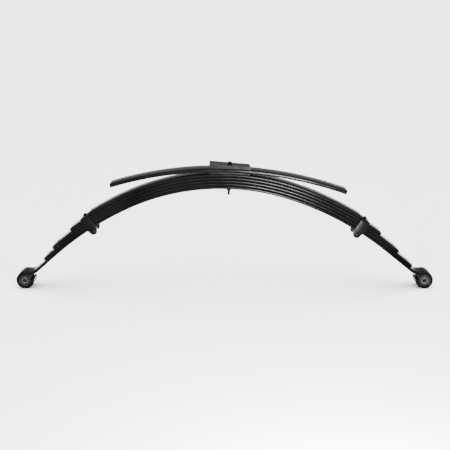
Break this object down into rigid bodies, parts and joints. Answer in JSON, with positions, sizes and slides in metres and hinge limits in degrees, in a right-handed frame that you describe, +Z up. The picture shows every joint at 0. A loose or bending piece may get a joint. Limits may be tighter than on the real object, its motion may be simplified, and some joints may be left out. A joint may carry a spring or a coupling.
{
  "type": "leaf spring",
  "caption": "Arched multi-leaf vehicle spring with rolled bushed eyes, rebound clips, a flat overload leaf and an axle wedge held by a centre bolt.",
  "frame": {"origin": "on the surface that the two eyes stand on, midway between the eyes and midway across the leaves", "axes": "+X along the spring toward the shorter, front half; +Y across the leaves; +Z up through the arch"},
  "size_m": [1.3795, 0.0878, 0.4226],
  "materials": {
    "leaf_paint": "semi-gloss black chassis paint over shot-peened spring steel",
    "plate_paint": "semi-gloss black paint on sawn plate",
    "clip_paint": "semi-gloss black paint on bent strip",
    "bolt_paint": "black paint on steel fasteners",
    "shell_paint": "dull black pressed steel shell",
    "sleeve_steel": "dark phosphated steel tube",
    "bush_rubber": "matt black rubber",
    "pad_plastic": "matt black hard plastic"
  },
  "bodies": {
    "root": {"main_leaf": "leaf_paint", "second_leaf": "leaf_paint", "third_leaf": "leaf_paint", "fourth_leaf": "leaf_paint", "fifth_leaf": "leaf_paint", "overload_leaf": "leaf_paint", "overload_spacer": "plate_paint", "axle_wedge": "plate_paint", "centre_bolt": "bolt_paint", "centre_nut": "bolt_paint"},
    "rear_arm": {"rear_clip_strap": "clip_paint", "rear_clip_bolt": "bolt_paint", "rear_clip_nut": "bolt_paint", "rear_clip_tube": "bolt_paint", "rear_clip_rivet": "bolt_paint", "rear_bush_shell": "shell_paint", "rear_bush_rubber": "bush_rubber", "rear_second_pad": "pad_plastic", "rear_third_pad": "pad_plastic"},
    "front_arm": {"front_clip_strap": "clip_paint", "front_clip_bolt": "bolt_paint", "front_clip_nut": "bolt_paint", "front_clip_tube": "bolt_paint", "front_clip_rivet": "bolt_paint", "front_bush_shell": "shell_paint", "front_bush_rubber": "bush_rubber", "front_second_pad": "pad_plastic", "front_third_pad": "pad_plastic"},
    "rear_sleeve": {"rear_bush_sleeve": "sleeve_steel"},
    "front_sleeve": {"front_bush_sleeve": "sleeve_steel"}
  },
  "joints": [
    {"name": "rear_arm_flex", "type": "hinge", "parent": "root", "child": "rear_arm", "pos_m": [-0.2256, 0, 0.3316], "axis": [0, 1, 0], "range_deg": [-3, 15.5], "stiffness_Nm_per_rad": 10200, "deforming": ["main_leaf", "second_leaf", "third_leaf", "fourth_leaf", "fifth_leaf"]},
    {"name": "front_arm_flex", "type": "hinge", "parent": "root", "child": "front_arm", "pos_m": [0.2505, 0, 0.3139], "axis": [0, -1, 0], "range_deg": [-3, 15.5], "stiffness_Nm_per_rad": 10200, "deforming": ["main_leaf", "second_leaf", "third_leaf", "fourth_leaf", "fifth_leaf"]},
    {"name": "rear_sleeve_twist", "type": "hinge", "parent": "rear_arm", "child": "rear_sleeve", "pos_m": [-0.66086, 0, 0.0289], "axis": [0, 1, 0], "range_deg": [-30, 30], "stiffness_Nm_per_rad": 30},
    {"name": "front_sleeve_twist", "type": "hinge", "parent": "front_arm", "child": "front_sleeve", "pos_m": [0.66086, 0, 0.0289], "axis": [0, -1, 0], "range_deg": [-30, 30], "stiffness_Nm_per_rad": 30}
  ]
}
